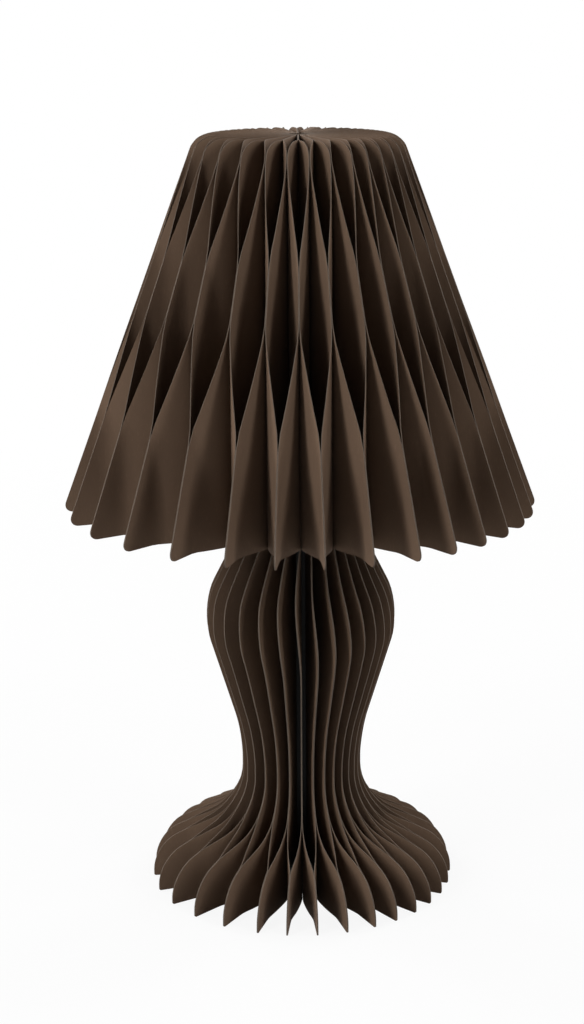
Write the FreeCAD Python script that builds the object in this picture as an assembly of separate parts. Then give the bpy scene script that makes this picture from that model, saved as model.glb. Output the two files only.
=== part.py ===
import FreeCAD, Part
import math
import os

# A table lamp whose vase and shade are one honeycomb of die-cut paper leaves.
# The leaves stand round a battery light unit, which the paper body lifts off.
# Millimetres, +Z up.  The lamp's axis is X = Y = 0, its front faces -Y, and
# everything stands on the plane Z = 0.  Angles round the axis are in degrees,
# 0 at the front and growing towards +X.

os.makedirs("parts", exist_ok=True)

# ---------------------------------------------------------------- paper leaf
lamp_height = 344.0
rim_radius = 106.8            # where the shade's slope would meet the hem
hem_height = 178.3
shade_top_radius = 44.7       # where the slope would meet the flat top
shade_top_rounding = 8.6
hem_tip_rounding = 3.3
neck_radius = 27.5            # narrowest, under the shade and above the foot
hem_fillet = 5.0
upper_neck_length = 10.8      # from the hem down to where the shoulder would meet it
upper_neck_rounding = 15.0
belly_corner_radius = 46.1    # where shoulder and body slope would meet
belly_share = 0.624           # height of that corner between the two necks
belly_rounding = 36.0
lower_neck_length = 33.55     # between the body's slope and the foot's
lower_neck_rounding = 80.0
flare_height = 36.35          # where the neck would meet the foot's slope
flare_rounding = 28.0
foot_radius = 70.0
foot_slope_height = 15.1      # where the foot's slope would meet its edge
foot_rounding = 19.6
foot_tip_rounding = 0.8

paper_thickness = 0.3
glue_line = 0.04              # film of glue between two joined leaves

# The fan is pulled open unevenly, so the front left cells are the widest: from
# the first pair on, so many pitches of so many degrees, and the rest are even.
full_turn_angle = 360.0
first_pair_angle = -85.2
pitch_counts = (5, 4, 5)
pitch_angles = (13.7, 11.1, 9.75)
pair_count = 32
before_seam_pair_count = 23   # the seam is in the valley after this pair

# Radii at which a leaf is glued to its neighbours, in each height zone.
# State +1 is joined to its mate of the same pair, -1 to the next pair.
inner_glue_end = 33.5
foot_tip_glue_start = 53.5
shade_tip_glue = (46.0, 48.3)
shade_valley_glue = (62.0, 72.5)
shade_rim_glue_start = 88.0

# ------------------------------------------------------------- seam boards
board_thickness = 1.2
magnet_radius = 4.0
magnet_thickness = 0.9
magnet_clearance = 0.05
foot_magnet_inset = 12.0      # from the foot's edge
foot_magnet_height = 9.0
rim_magnet_inset = 18.8       # from the shade's rim
rim_magnet_rise = 15.7        # above the hem
top_magnet_inset = 8.7        # from the flat top's edge
top_magnet_drop = 18.0        # below the flat top

# --------------------------------------------------------------- light unit
base_radius = 29.0
base_wall = 1.6
base_bottom = 1.0
base_top = 15.0
foot_ring_inner = 24.6
foot_ring_outer = 26.8
foot_ring_groove = 0.7
plate_thickness = 1.6
plate_clearance = 0.2
stem_radius = 12.0
stem_wall = 1.0
stem_above_hem = 7.7
stem_seat_drop = 2.6          # how far the stem goes into the base's top wall
seat_lip = 1.0
ballast_thickness = 7.6
ballast_inner = 18.2
ballast_clearance = 0.3
post_radius = 2.5             # screw posts under the base's top wall
post_circle = 22.0
post_angles = (60.0, 180.0, 300.0)
screw_radius = 0.95
screw_length = 7.0
screw_head_radius = 1.9
screw_head_height = 1.1
screw_clearance = 0.05

board_radius = 17.6
board_sheet = 1.2
board_bottom = 8.2
board_post_radius = 1.7
board_post_circle = 15.8
board_post_angles = (90.0, 270.0)
board_screw_length = 4.4
board_screw_radius = 0.75
board_screw_head_radius = 1.45
board_screw_head_height = 1.0

# Width, depth and height of each part under the board, and its place on it.
charge_chip = (5.0, 4.0, 1.5)
charge_chip_place = (-9.0, 0.5)
driver_chip = (3.0, 3.0, 0.9)
driver_chip_place = (8.6, 4.5)
capacitor = (3.2, 1.6, 1.2)
capacitor_places = ((8.6, -0.5), (8.6, -3.5))
inductor_radius = 2.9
inductor_height = 2.8
inductor_place = (-0.5, -0.5)

socket_width = 8.94
socket_depth = 3.2
socket_wall = 0.3
socket_back = 1.6
socket_place_y = -10.0
socket_recess = 0.5           # its mouth lies this far above the plate's face
socket_gap = 0.3
tongue_width = 6.7
tongue_thickness = 0.7
tongue_recess = 0.8

switch_side = 6.0
switch_height = 3.4
switch_place_y = 9.0
plunger_radius = 1.7
plunger_length = 1.3
plunger_gap = 0.1
button_radius = 4.5
button_flange_radius = 5.4
button_flange = 0.7
button_edge = 0.5
button_gap = 0.25
button_travel = 0.5

cell_radius = 9.2
cell_length = 65.2
cell_edge = 0.8
cell_nub_radius = 3.0
cell_nub_height = 1.4
cell_bottom = 24.0
seat_thickness = 6.0
contact_sheet = 0.4
contact_pip = 1.6
contact_pip_radius = 2.5
minus_contact_radius = 7.0
plus_contact_radius = 5.0
plus_tab_width = 2.4
seat_fit = 0.05
wire_radius = 0.6
wire_circle = 10.1
wire_notch = 0.25
wire_rise = 30.0              # straight up from the upper seat
wire_drift = 25.0             # then over to the light post
wire_bend = 40.0
wire_overlap = 3.0            # along the light board that it is soldered to
led_wire_angles = (-25.0, 25.0)
led_wire_spread = 0.6         # of the wires on the post, as a share of that in the stem
plus_wire_angle = 180.0
minus_wire_place = 5.0

collar_spigot = 9.0
collar_flange = 2.0
diffuser_wall = 1.2
spigot_fit = 0.1
spigot_length = 5.0
cap_thickness = 2.0
cap_below_top = 26.0          # from the shade's flat top down to the cap
led_post_side = 9.0
led_post_socket = 4.0
led_board_width = 8.0
led_board_sheet = 1.0
led_board_end_gap = 7.0
led_chip = (3.5, 2.8, 0.8)
led_chip_count = 11

# Clearance between the light unit and the paper's core.
core_clearance = 1.0
ledge_clearance = 0.3         # between the base's top and the paper that rests over it
base_clearance = 2.0
cap_clearance = 3.0           # over the cap, where the leaves close in on the axis
core_closing_radius = 4.2


# ------------------------------------------------------------------ helpers
def spot(x, y, z):
    return FreeCAD.Vector(x, y, z)


def cylinder(radius, bottom, top, x=0.0, y=0.0):
    return Part.makeCylinder(radius, top - bottom, spot(x, y, bottom))


def ring(outer, inner, bottom, top):
    return cylinder(outer, bottom, top).cut(cylinder(inner, bottom, top))


def block(width, depth, bottom, top, x=0.0, y=0.0):
    corner = spot(x - width / 2, y - depth / 2, bottom)
    return Part.makeBox(width, depth, top - bottom, corner)


def around(radius, angle):
    """The plan point at this radius and angle round the axis."""
    turn = math.radians(angle)
    return radius * math.sin(turn), -radius * math.cos(turn)


def save(name, solids):
    shape = Part.makeCompound(solids) if isinstance(solids, list) else solids
    if shape.ShapeType != "Compound":
        shape = Part.makeCompound(shape.Solids)
    for solid in shape.Solids:
        if not solid.isValid():
            raise ValueError(name + " has a solid that is not valid")
    shape.exportStep(os.path.join("parts", name + ".step"))
    print(name, len(shape.Solids), "solids", round(shape.Volume, 1), "mm3")


def rounded_wire(corners):
    """Closed wire in the XZ plane through (x, z, rounding) corners."""
    pieces = []
    count = len(corners)
    for index in range(count):
        x, z, rounding = corners[index]
        here = spot(x, 0, z)
        before = spot(corners[index - 1][0], 0, corners[index - 1][1]) - here
        after_corner = corners[(index + 1) % count]
        after = spot(after_corner[0], 0, after_corner[1]) - here
        before.normalize()
        after.normalize()
        if rounding == 0:
            pieces.append((here, None, here))
            continue
        half_angle = before.getAngle(after) / 2
        reach = rounding / math.tan(half_angle)
        bisector = before + after
        bisector.normalize()
        middle = here + bisector * (rounding / math.sin(half_angle) - rounding)
        pieces.append((here + before * reach, middle, here + after * reach))
    edges = []
    for index in range(count):
        start, middle, end = pieces[index]
        if middle is not None:
            edges.append(Part.Arc(start, middle, end).toShape())
        next_start = pieces[(index + 1) % count][0]
        if end.distanceToPoint(next_start) > 1e-6:
            edges.append(Part.makeLine(end, next_start))
    return Part.Wire(edges)


# --------------------------------------------------------------- paper body
lower_neck_height = flare_height + lower_neck_length
upper_neck_height = hem_height - upper_neck_length
belly_height = lower_neck_height + belly_share * (upper_neck_height - lower_neck_height)
stem_hole = stem_radius + core_clearance
base_hole = base_radius + base_clearance
base_hole_height = base_top + ledge_clearance
core_closing_height = lamp_height - cap_below_top + cap_clearance
body_zone_start = (flare_height + lower_neck_height) / 2
body_zone_end = (upper_neck_height + hem_height) / 2
wave_reach = rim_radius + hem_tip_rounding    # the bands run past the die's outline
die_half_width = rim_radius / 8

zones = [
    (0.0, body_zone_start, [
        (inner_glue_end, -1), (foot_tip_glue_start, 1), (wave_reach, 1)]),
    (body_zone_start, body_zone_end, [(wave_reach, -1)]),
    (body_zone_end, lamp_height, [
        (inner_glue_end, -1),
        (shade_tip_glue[0], 1), (shade_tip_glue[1], 1),
        (shade_valley_glue[0], -1), (shade_valley_glue[1], -1),
        (shade_rim_glue_start, 1), (wave_reach, 1)]),
]


def outline_corners(closes_in):
    """The leaf's cut outline, from the foot's inner corner round and back."""
    corners = [
        (base_hole, 0.0, 0),
        (base_hole, base_hole_height, 0),
        (stem_hole, base_hole_height, 0),
    ]
    if closes_in:
        corners.append((stem_hole, core_closing_height, 0))
        corners.append((core_closing_radius, core_closing_height, 0))
        corners.append((core_closing_radius, lamp_height, 0))
    else:
        corners.append((stem_hole, lamp_height, 0))
    corners.append((shade_top_radius, lamp_height, shade_top_rounding))
    corners.append((rim_radius, hem_height, hem_tip_rounding))
    corners.append((neck_radius, hem_height, hem_fillet))
    corners.append((neck_radius, upper_neck_height, upper_neck_rounding))
    corners.append((belly_corner_radius, belly_height, belly_rounding))
    corners.append((neck_radius, lower_neck_height, lower_neck_rounding))
    corners.append((neck_radius, flare_height, flare_rounding))
    corners.append((foot_radius, foot_slope_height, foot_rounding))
    corners.append((foot_radius, 0.0, foot_tip_rounding))
    return corners


def cutting_die(closes_in):
    """The outline as a prism across the leaf, along +X from the axis."""
    face = Part.Face(rounded_wire(outline_corners(closes_in)))
    die = face.extrude(spot(0, 2 * die_half_width, 0))
    die.translate(spot(0, -die_half_width, 0))
    return die


leaf_die = cutting_die(True)
seam_die = cutting_die(False)


def leaf_strip(zone, tip_angle, valley_angle, valley_offset):
    """A band of paper over one zone, bent between its tip and valley planes."""
    bottom, top, wave = zone
    side = 1 if valley_angle > tip_angle else -1
    half_glue = (paper_thickness + glue_line) / 2
    near_face = []
    far_face = []
    for radius, state in [(core_closing_radius / 2, -1)] + wave:
        valley_share = (1 - state) / 2
        angle = math.radians(tip_angle + (valley_angle - tip_angle) * valley_share)
        offset = side * (half_glue * state - valley_offset * valley_share)
        for shift, face in ((-paper_thickness / 2, near_face), (paper_thickness / 2, far_face)):
            across = offset + shift
            x = radius * math.sin(angle) + across * math.cos(angle)
            y = -radius * math.cos(angle) + across * math.sin(angle)
            face.append(spot(x, y, bottom))
    loop = near_face + far_face[::-1]
    face = Part.Face(Part.makePolygon(loop + [loop[0]]))
    return face.extrude(spot(0, 0, top - bottom))


def paper_leaf(tip_angle, valley_angle, at_seam):
    """One die-cut leaf, standing between its tip plane and its valley plane."""
    valley_offset = board_thickness + glue_line if at_seam else 0.0
    die = (seam_die if at_seam else leaf_die).copy()
    middle_angle = (tip_angle + valley_angle) / 2
    die.rotate(spot(0, 0, 0), spot(0, 0, 1), middle_angle - 90)
    bands = []
    for zone in zones:
        bands.append(leaf_strip(zone, tip_angle, valley_angle, valley_offset).common(die))
    leaf = bands[0].fuse(bands[1:]).removeSplitter()
    if len(leaf.Solids) != 1:
        raise ValueError("a leaf fell apart")
    return leaf.Solids[0]


def pair_angles():
    """Tip angle of each leaf pair: first the uneven pitches, then the even ones."""
    angles = [first_pair_angle]
    for count, pitch in zip(pitch_counts, pitch_angles):
        for _ in range(count):
            angles.append(angles[-1] + pitch)
    left = pair_count - len(angles) + 1
    even_pitch = (first_pair_angle + full_turn_angle - angles[-1]) / left
    while len(angles) < pair_count:
        angles.append(angles[-1] + even_pitch)
    return angles


tips = pair_angles()
valleys = []
for pair in range(pair_count):
    next_tip = tips[pair + 1] if pair + 1 < pair_count else tips[0] + full_turn_angle
    valleys.append((tips[pair] + next_tip) / 2)
seam_valley = before_seam_pair_count - 1
seam_angle = valleys[seam_valley]

for pair in range(pair_count):
    valley_before = valleys[pair - 1] if pair > 0 else valleys[-1] - full_turn_angle
    left_leaf = paper_leaf(tips[pair], valley_before, pair - 1 == seam_valley)
    right_leaf = paper_leaf(tips[pair], valleys[pair], pair == seam_valley)
    save("leaf_pair_%02d" % (pair + 1), [left_leaf, right_leaf])


# -------------------------------------------------------------- seam boards
magnet_places = [
    (foot_radius - foot_magnet_inset, foot_magnet_height),
    (rim_radius - rim_magnet_inset, hem_height + rim_magnet_rise),
    (shade_top_radius - top_magnet_inset, lamp_height - top_magnet_drop),
]


def seam_board(side):
    """One end board of the honeycomb, side +1 or -1 of the seam plane."""
    face = Part.Face(rounded_wire(outline_corners(False)))
    face.translate(spot(0, side * glue_line / 2, 0))
    board = face.extrude(spot(0, side * board_thickness, 0))
    for radius, height in magnet_places:
        pocket_radius = magnet_radius + magnet_clearance
        pocket_depth = magnet_thickness + magnet_clearance
        pocket = Part.makeCylinder(pocket_radius, pocket_depth,
                                   spot(radius, side * glue_line / 2, height),
                                   spot(0, side, 0))
        board = board.cut(pocket)
    board.rotate(spot(0, 0, 0), spot(0, 0, 1), seam_angle - 90)
    return board


def seam_magnets():
    """Pairs of disc magnets that face each other across the seam."""
    magnets = []
    for radius, height in magnet_places:
        for side in (-1, 1):
            magnet = Part.makeCylinder(magnet_radius, magnet_thickness,
                                       spot(radius, side * glue_line / 2, height),
                                       spot(0, side, 0))
            magnet.rotate(spot(0, 0, 0), spot(0, 0, 1), seam_angle - 90)
            magnets.append(magnet)
    return magnets


save("seam_board_right", seam_board(1))
save("seam_board_left", seam_board(-1))
save("seam_magnets", seam_magnets())

# --------------------------------------------------------------------- base
base_inner = base_radius - base_wall
base_ceiling = base_top - base_wall
stem_inner = stem_radius - stem_wall
stem_bottom = base_top - stem_seat_drop - base_wall
seat_bottom = stem_bottom - seat_lip
plate_top = base_bottom + plate_thickness
plate_radius = base_inner - plate_clearance
board_top = board_bottom + board_sheet


def base_shell():
    """Round cup that stands mouth down, with posts and the stem's seat."""
    shell = cylinder(base_radius, base_bottom, base_top)
    shell = shell.cut(cylinder(base_inner, base_bottom, base_ceiling))
    shell = shell.fuse(cylinder(stem_radius + base_wall, seat_bottom, base_ceiling))
    for angle in post_angles:
        x, y = around(post_circle, angle)
        shell = shell.fuse(cylinder(post_radius, plate_top, base_ceiling, x, y))
    for angle in board_post_angles:
        x, y = around(board_post_circle, angle)
        shell = shell.fuse(cylinder(board_post_radius, board_top, base_ceiling, x, y))
    shell = shell.cut(cylinder(stem_radius + seat_fit, stem_bottom, base_top))
    shell = shell.cut(cylinder(stem_inner, seat_bottom, stem_bottom))
    for angle in post_angles:
        x, y = around(post_circle, angle)
        hole_top = base_bottom + screw_length + 2 * screw_clearance
        hole = cylinder(screw_radius + screw_clearance, plate_top, hole_top, x, y)
        shell = shell.cut(hole)
    for angle in board_post_angles:
        x, y = around(board_post_circle, angle)
        hole_top = board_bottom + board_screw_length - board_screw_head_height
        hole_radius = board_screw_radius + screw_clearance
        shell = shell.cut(cylinder(hole_radius, board_top, hole_top + screw_clearance, x, y))
    rim = [edge for edge in shell.Edges
           if abs(edge.BoundBox.ZMin - base_top) < 0.01
           and edge.BoundBox.ZLength < 0.01 and edge.BoundBox.XLength > 2 * stem_radius + 2]
    return shell.makeFillet(base_wall * 0.6, rim).removeSplitter()


def bottom_plate():
    """Plate that closes the base, with its groove, holes and screw seats."""
    plate = cylinder(plate_radius, base_bottom, plate_top)
    groove_top = base_bottom + foot_ring_groove
    plate = plate.cut(ring(foot_ring_outer, foot_ring_inner, base_bottom, groove_top))
    slot_width = socket_width + 2 * socket_gap
    slot_depth = socket_depth + 2 * socket_gap
    slot = block(slot_width, slot_depth, base_bottom, plate_top, 0, socket_place_y)
    upright = [edge for edge in slot.Edges if edge.BoundBox.ZLength > plate_thickness / 2]
    plate = plate.cut(slot.makeFillet(slot_depth * 0.45, upright))
    plate = plate.cut(cylinder(button_radius + button_gap, base_bottom, plate_top,
                               0, switch_place_y))
    for angle in post_angles:
        x, y = around(post_circle, angle)
        plate = plate.cut(cylinder(screw_radius + screw_clearance, base_bottom, plate_top, x, y))
        head_top = base_bottom + screw_head_height + screw_clearance
        head_radius = screw_head_radius + screw_clearance
        plate = plate.cut(cylinder(head_radius, base_bottom, head_top, x, y))
    return plate


def cross_screw(head_radius, head_height, radius, length, x, y, bottom):
    """Screw that points up, with its head at the bottom and a cross recess."""
    screw = cylinder(head_radius, bottom, bottom + head_height, x, y)
    edge = [item for item in screw.Edges if abs(item.BoundBox.ZMax - bottom) < 0.01]
    screw = screw.makeChamfer(head_height * 0.2, edge)
    screw = screw.fuse(cylinder(radius, bottom + head_height, bottom + length, x, y))
    recess_top = bottom + head_height * 0.6
    arm = head_radius * 1.2
    screw = screw.cut(block(arm, arm * 0.25, bottom, recess_top, x, y))
    return screw.cut(block(arm * 0.25, arm, bottom, recess_top, x, y))


def base_screws():
    screws = []
    for angle in post_angles:
        x, y = around(post_circle, angle)
        screws.append(cross_screw(screw_head_radius, screw_head_height, screw_radius,
                                  screw_length, x, y, base_bottom))
    return screws


def ballast_ring():
    """Steel ring under the base's top wall, cleared round the screw posts."""
    outer = base_inner - ballast_clearance
    weight = ring(outer, ballast_inner, base_ceiling - ballast_thickness, base_ceiling)
    for angle in post_angles:
        x, y = around(post_circle, angle)
        hole_radius = post_radius + ballast_clearance
        bottom = base_ceiling - ballast_thickness
        weight = weight.cut(cylinder(hole_radius, bottom, base_ceiling, x, y))
    return weight


save("base_shell", base_shell())
save("bottom_plate", bottom_plate())
save("base_screws", base_screws())
save("ballast_ring", ballast_ring())
save("rubber_foot_ring", ring(foot_ring_outer, foot_ring_inner, 0.0,
                              base_bottom + foot_ring_groove))


# -------------------------------------------------------------- electronics
def control_board():
    """Round charging and switching board, screwed to the base's short posts."""
    sheet = cylinder(board_radius, board_bottom, board_top)
    for angle in board_post_angles:
        x, y = around(board_post_circle, angle)
        hole_radius = board_screw_radius + screw_clearance
        sheet = sheet.cut(cylinder(hole_radius, board_bottom, board_top, x, y))
    return sheet


def board_screws():
    screws = []
    for angle in board_post_angles:
        x, y = around(board_post_circle, angle)
        screws.append(cross_screw(board_screw_head_radius, board_screw_head_height,
                                  board_screw_radius, board_screw_length,
                                  x, y, board_bottom - board_screw_head_height))
    return screws


def board_components():
    """Charge chip, driver chip, inductor and two capacitors under the board."""
    chips = [(charge_chip, charge_chip_place), (driver_chip, driver_chip_place)]
    for place in capacitor_places:
        chips.append((capacitor, place))
    items = []
    for (width, depth, height), (x, y) in chips:
        items.append(block(width, depth, board_bottom - height, board_bottom, x, y))
    inductor_bottom = board_bottom - inductor_height
    items.append(cylinder(inductor_radius, inductor_bottom, board_bottom, *inductor_place))
    return items


def usb_c_socket():
    """Upright oval socket under the board: metal shell and contact tongue."""
    mouth = base_bottom + socket_recess

    def oval(width, depth, bottom, top):
        body = block(width, depth, bottom, top, 0, socket_place_y)
        upright = [edge for edge in body.Edges if edge.BoundBox.ZLength > socket_back]
        return body.makeFillet(depth * 0.49, upright)

    shell = oval(socket_width, socket_depth, mouth, board_bottom)
    hollow_top = board_bottom - socket_back
    inner_width = socket_width - 2 * socket_wall
    inner_depth = socket_depth - 2 * socket_wall
    shell = shell.cut(oval(inner_width, inner_depth, mouth, hollow_top))
    tongue = block(tongue_width, tongue_thickness, mouth + tongue_recess, hollow_top,
                   0, socket_place_y)
    return shell.fuse(tongue)


switch_bottom = board_bottom - switch_height
plunger_bottom = switch_bottom - plunger_length
button_top = plunger_bottom
plunger_top = switch_bottom + button_travel


def tact_switch():
    """Square switch housing with the bore that its plunger moves in."""
    housing = block(switch_side, switch_side, switch_bottom, board_bottom, 0, switch_place_y)
    bore_top = plunger_top + button_travel + plunger_gap
    bore_radius = plunger_radius + plunger_gap
    return housing.cut(cylinder(bore_radius, switch_bottom, bore_top, 0, switch_place_y))


def button_cap():
    """Round button with the flange that keeps it behind the plate."""
    flange_bottom = button_top - button_flange
    cap = cylinder(button_radius, base_bottom, button_top, 0, switch_place_y)
    edge = [item for item in cap.Edges if abs(item.BoundBox.ZMax - base_bottom) < 0.01]
    cap = cap.makeFillet(button_edge, edge)
    flange = cylinder(button_flange_radius, flange_bottom, button_top, 0, switch_place_y)
    return cap.fuse(flange)


save("control_board", control_board())
save("board_screws", board_screws())
save("board_components", board_components())
save("usb_c_socket", usb_c_socket())
save("tact_switch", tact_switch())
save("switch_plunger", cylinder(plunger_radius, plunger_bottom, plunger_top,
                                0, switch_place_y))
save("button_cap", button_cap())


# ---------------------------------------------------------- stem and cell
def notched_seat(bottom, top, wire_angles):
    """Round plug in the stem, notched where wires pass it."""
    seat = cylinder(stem_inner - seat_fit, bottom, top)
    for angle in wire_angles:
        x, y = around(wire_circle, angle)
        notch = cylinder(wire_radius + wire_notch, bottom, top, x, y)
        outside_x, outside_y = around(stem_inner, angle)
        seat = seat.cut(notch)
        seat = seat.cut(cylinder(wire_radius + wire_notch, bottom, top, outside_x, outside_y))
    return seat


lower_contact_bottom = cell_bottom - contact_pip - contact_sheet
cell_top = cell_bottom + cell_length
all_wire_angles = list(led_wire_angles) + [plus_wire_angle]


def cell_seat_lower():
    """Plug under the cell, with a bore for the negative wire."""
    seat = notched_seat(lower_contact_bottom - seat_thickness, lower_contact_bottom,
                        all_wire_angles)
    bore_radius = wire_radius + wire_notch
    return seat.cut(cylinder(bore_radius, lower_contact_bottom - seat_thickness,
                             lower_contact_bottom, minus_wire_place, 0))


def cell_contact_minus():
    plate_height = lower_contact_bottom + contact_sheet
    plate = cylinder(minus_contact_radius, lower_contact_bottom, plate_height)
    return plate.fuse(cylinder(contact_pip_radius, plate_height, cell_bottom))


def battery_cell():
    """Round lithium cell with its raised positive end."""
    can = cylinder(cell_radius, cell_bottom, cell_top - cell_nub_height)
    rims = [edge for edge in can.Edges if edge.BoundBox.ZLength < 0.01]
    can = can.makeFillet(cell_edge, rims)
    return can.fuse(cylinder(cell_nub_radius, cell_top - cell_nub_height, cell_top))


def cell_contact_plus():
    """Disc on the cell's nub, with a tab that reaches out to its wire."""
    sheet_top = cell_top + contact_sheet
    disc = cylinder(plus_contact_radius, cell_top, sheet_top)
    tab_x, tab_y = around(wire_circle / 2, plus_wire_angle)
    tab = block(plus_tab_width, wire_circle, cell_top, sheet_top, tab_x, tab_y)
    return disc.fuse(tab).removeSplitter()


stem_top = hem_height + stem_above_hem


save("stem_tube", ring(stem_radius, stem_inner, stem_bottom, stem_top))
save("cell_seat_lower", cell_seat_lower())
save("cell_contact_minus", cell_contact_minus())
save("battery_cell", battery_cell())
save("cell_contact_plus", cell_contact_plus())
save("cell_seat_upper", notched_seat(cell_top + contact_sheet,
                                     cell_top + contact_sheet + seat_thickness,
                                     led_wire_angles))

# ------------------------------------------------------------- light column
collar_top = stem_top + collar_flange
diffuser_inner = stem_radius - diffuser_wall
diffuser_top = lamp_height - cap_below_top - cap_thickness
spigot_radius = diffuser_inner - spigot_fit
post_bottom = collar_top - led_post_socket
post_top = diffuser_top - spigot_length + led_post_socket
led_board_bottom = collar_top + spigot_length + led_board_end_gap
led_board_top = diffuser_top - spigot_length - led_board_end_gap
led_face = led_post_side / 2 + led_board_sheet
led_wire_circle = led_face + wire_radius
socket_side = led_post_side + 2 * spigot_fit


def diffuser_collar():
    """Ring that joins stem and diffuser and holds the post's foot."""
    collar = cylinder(stem_inner - seat_fit, stem_top - collar_spigot, stem_top)
    collar = collar.fuse(cylinder(stem_radius, stem_top, collar_top))
    collar = collar.fuse(cylinder(spigot_radius, collar_top, collar_top + spigot_length))
    top = collar_top + spigot_length
    collar = collar.cut(block(socket_side, socket_side, post_bottom, top))
    for angle in led_wire_angles:
        x, y = led_wire_top(angle)
        bore_radius = wire_radius + wire_notch
        collar = collar.cut(cylinder(bore_radius, stem_top - collar_spigot, top, x, y))
    return collar.removeSplitter()


def led_wire_top(angle):
    """Plan point where a wire runs up the front face of the light post."""
    x, _ = around(wire_circle, angle)
    return x * led_wire_spread, -led_wire_circle


def diffuser_cap():
    """Cap that closes the diffuser and holds the post's top."""
    cap = cylinder(stem_radius, diffuser_top, diffuser_top + cap_thickness)
    edge = [item for item in cap.Edges
            if abs(item.BoundBox.ZMin - diffuser_top - cap_thickness) < 0.01
            and item.BoundBox.XLength > stem_radius]
    cap = cap.makeFillet(cap_thickness * 0.6, edge)
    cap = cap.fuse(cylinder(spigot_radius, diffuser_top - spigot_length, diffuser_top))
    socket_bottom = diffuser_top - spigot_length
    return cap.cut(block(socket_side, socket_side, socket_bottom, post_top)).removeSplitter()


def led_strips():
    """Four light boards on the post's faces, each with its row of chips."""
    solids = []
    side = led_post_side / 2
    step = (led_board_top - led_board_bottom) / led_chip_count
    for turn in range(4):
        pieces = [block(led_board_width, led_board_sheet, led_board_bottom, led_board_top,
                        0, -side - led_board_sheet / 2)]
        for row in range(led_chip_count):
            height = led_board_bottom + step * (row + 0.5)
            chip_y = -side - led_board_sheet - led_chip[2] / 2
            pieces.append(block(led_chip[1], led_chip[2], height - led_chip[0] / 2,
                                height + led_chip[0] / 2, 0, chip_y))
        for piece in pieces:
            piece.rotate(spot(0, 0, 0), spot(0, 0, 1), 90 * turn)
            solids.append(piece)
    return solids


def wire_along(points, bend_radius):
    """Round wire through the points, each corner an arc of one radius."""
    edges = []
    start = points[0]
    for index in range(1, len(points) - 1):
        here = points[index]
        before = points[index - 1] - here
        after = points[index + 1] - here
        before.normalize()
        after.normalize()
        half_angle = before.getAngle(after) / 2
        reach = bend_radius / math.tan(half_angle)
        bisector = before + after
        bisector.normalize()
        arc_start = here + before * reach
        arc_end = here + after * reach
        middle = here + bisector * (bend_radius / math.sin(half_angle) - bend_radius)
        edges.append(Part.makeLine(start, arc_start))
        edges.append(Part.Arc(arc_start, middle, arc_end).toShape())
        start = arc_end
    edges.append(Part.makeLine(start, points[-1]))
    path = Part.Wire(edges)
    section = Part.Wire(Part.makeCircle(wire_radius, points[0], spot(0, 0, 1)))
    wire = path.makePipeShell([section], True, False)
    expected = math.pi * wire_radius ** 2 * path.Length
    print("wire volume over section times length", round(wire.Volume / expected, 4))
    return wire


def lead_wires():
    """Positive and negative leads of the cell and the pair up to the lights."""
    plus_x, plus_y = around(wire_circle, plus_wire_angle)
    wires = [
        cylinder(wire_radius, board_top, cell_top, plus_x, plus_y),
        cylinder(wire_radius, board_top, lower_contact_bottom, minus_wire_place, 0),
    ]
    drift_start = cell_top + contact_sheet + seat_thickness + wire_rise
    drift_end = drift_start + wire_drift
    solder_height = led_board_bottom + wire_overlap
    for angle in led_wire_angles:
        x, y = around(wire_circle, angle)
        top_x, top_y = led_wire_top(angle)
        path = [
            spot(x, y, board_top),
            spot(x, y, drift_start),
            spot(top_x, top_y, drift_end),
            spot(top_x, top_y, solder_height),
        ]
        wires.append(wire_along(path, wire_bend))
    return wires


save("diffuser_collar", diffuser_collar())
save("led_post", block(led_post_side, led_post_side, post_bottom, post_top))
save("led_strips", led_strips())
save("lead_wires", lead_wires())
save("diffuser_tube", ring(stem_radius, diffuser_inner, collar_top, diffuser_top))
save("diffuser_cap", diffuser_cap())
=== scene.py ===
import math

import bmesh
import bpy
from bpy.props import FloatProperty, FloatVectorProperty, PointerProperty
from mathutils import Matrix, Vector, noise


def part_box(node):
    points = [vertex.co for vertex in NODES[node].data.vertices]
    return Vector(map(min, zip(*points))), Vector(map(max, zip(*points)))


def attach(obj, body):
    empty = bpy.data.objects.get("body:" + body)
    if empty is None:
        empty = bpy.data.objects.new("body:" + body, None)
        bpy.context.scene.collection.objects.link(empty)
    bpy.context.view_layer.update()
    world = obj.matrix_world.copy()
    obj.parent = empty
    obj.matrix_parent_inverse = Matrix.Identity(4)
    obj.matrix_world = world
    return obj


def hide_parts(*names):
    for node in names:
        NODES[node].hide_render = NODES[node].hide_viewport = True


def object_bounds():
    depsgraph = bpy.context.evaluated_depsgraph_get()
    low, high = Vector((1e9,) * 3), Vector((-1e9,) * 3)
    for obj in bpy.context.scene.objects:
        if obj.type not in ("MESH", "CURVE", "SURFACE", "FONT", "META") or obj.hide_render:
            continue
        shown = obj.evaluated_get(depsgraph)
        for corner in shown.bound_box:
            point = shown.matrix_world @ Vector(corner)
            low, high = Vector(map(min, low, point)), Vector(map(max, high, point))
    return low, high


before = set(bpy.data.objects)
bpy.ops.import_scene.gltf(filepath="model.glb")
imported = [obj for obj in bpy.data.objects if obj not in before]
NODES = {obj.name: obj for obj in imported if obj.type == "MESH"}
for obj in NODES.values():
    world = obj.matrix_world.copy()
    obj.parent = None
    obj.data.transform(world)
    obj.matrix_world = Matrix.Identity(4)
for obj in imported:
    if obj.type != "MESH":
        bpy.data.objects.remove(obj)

bl_info = {
    "name": "Pleated Paper Table Lamp",
    "version": (1, 0, 0),
    "blender": (4, 5, 0),
    "location": "View3D > Sidebar > Paper Lamp",
    "description": "Paper leaves, light unit and studio of a pleated paper table lamp",
    "category": "Object",
}

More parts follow.
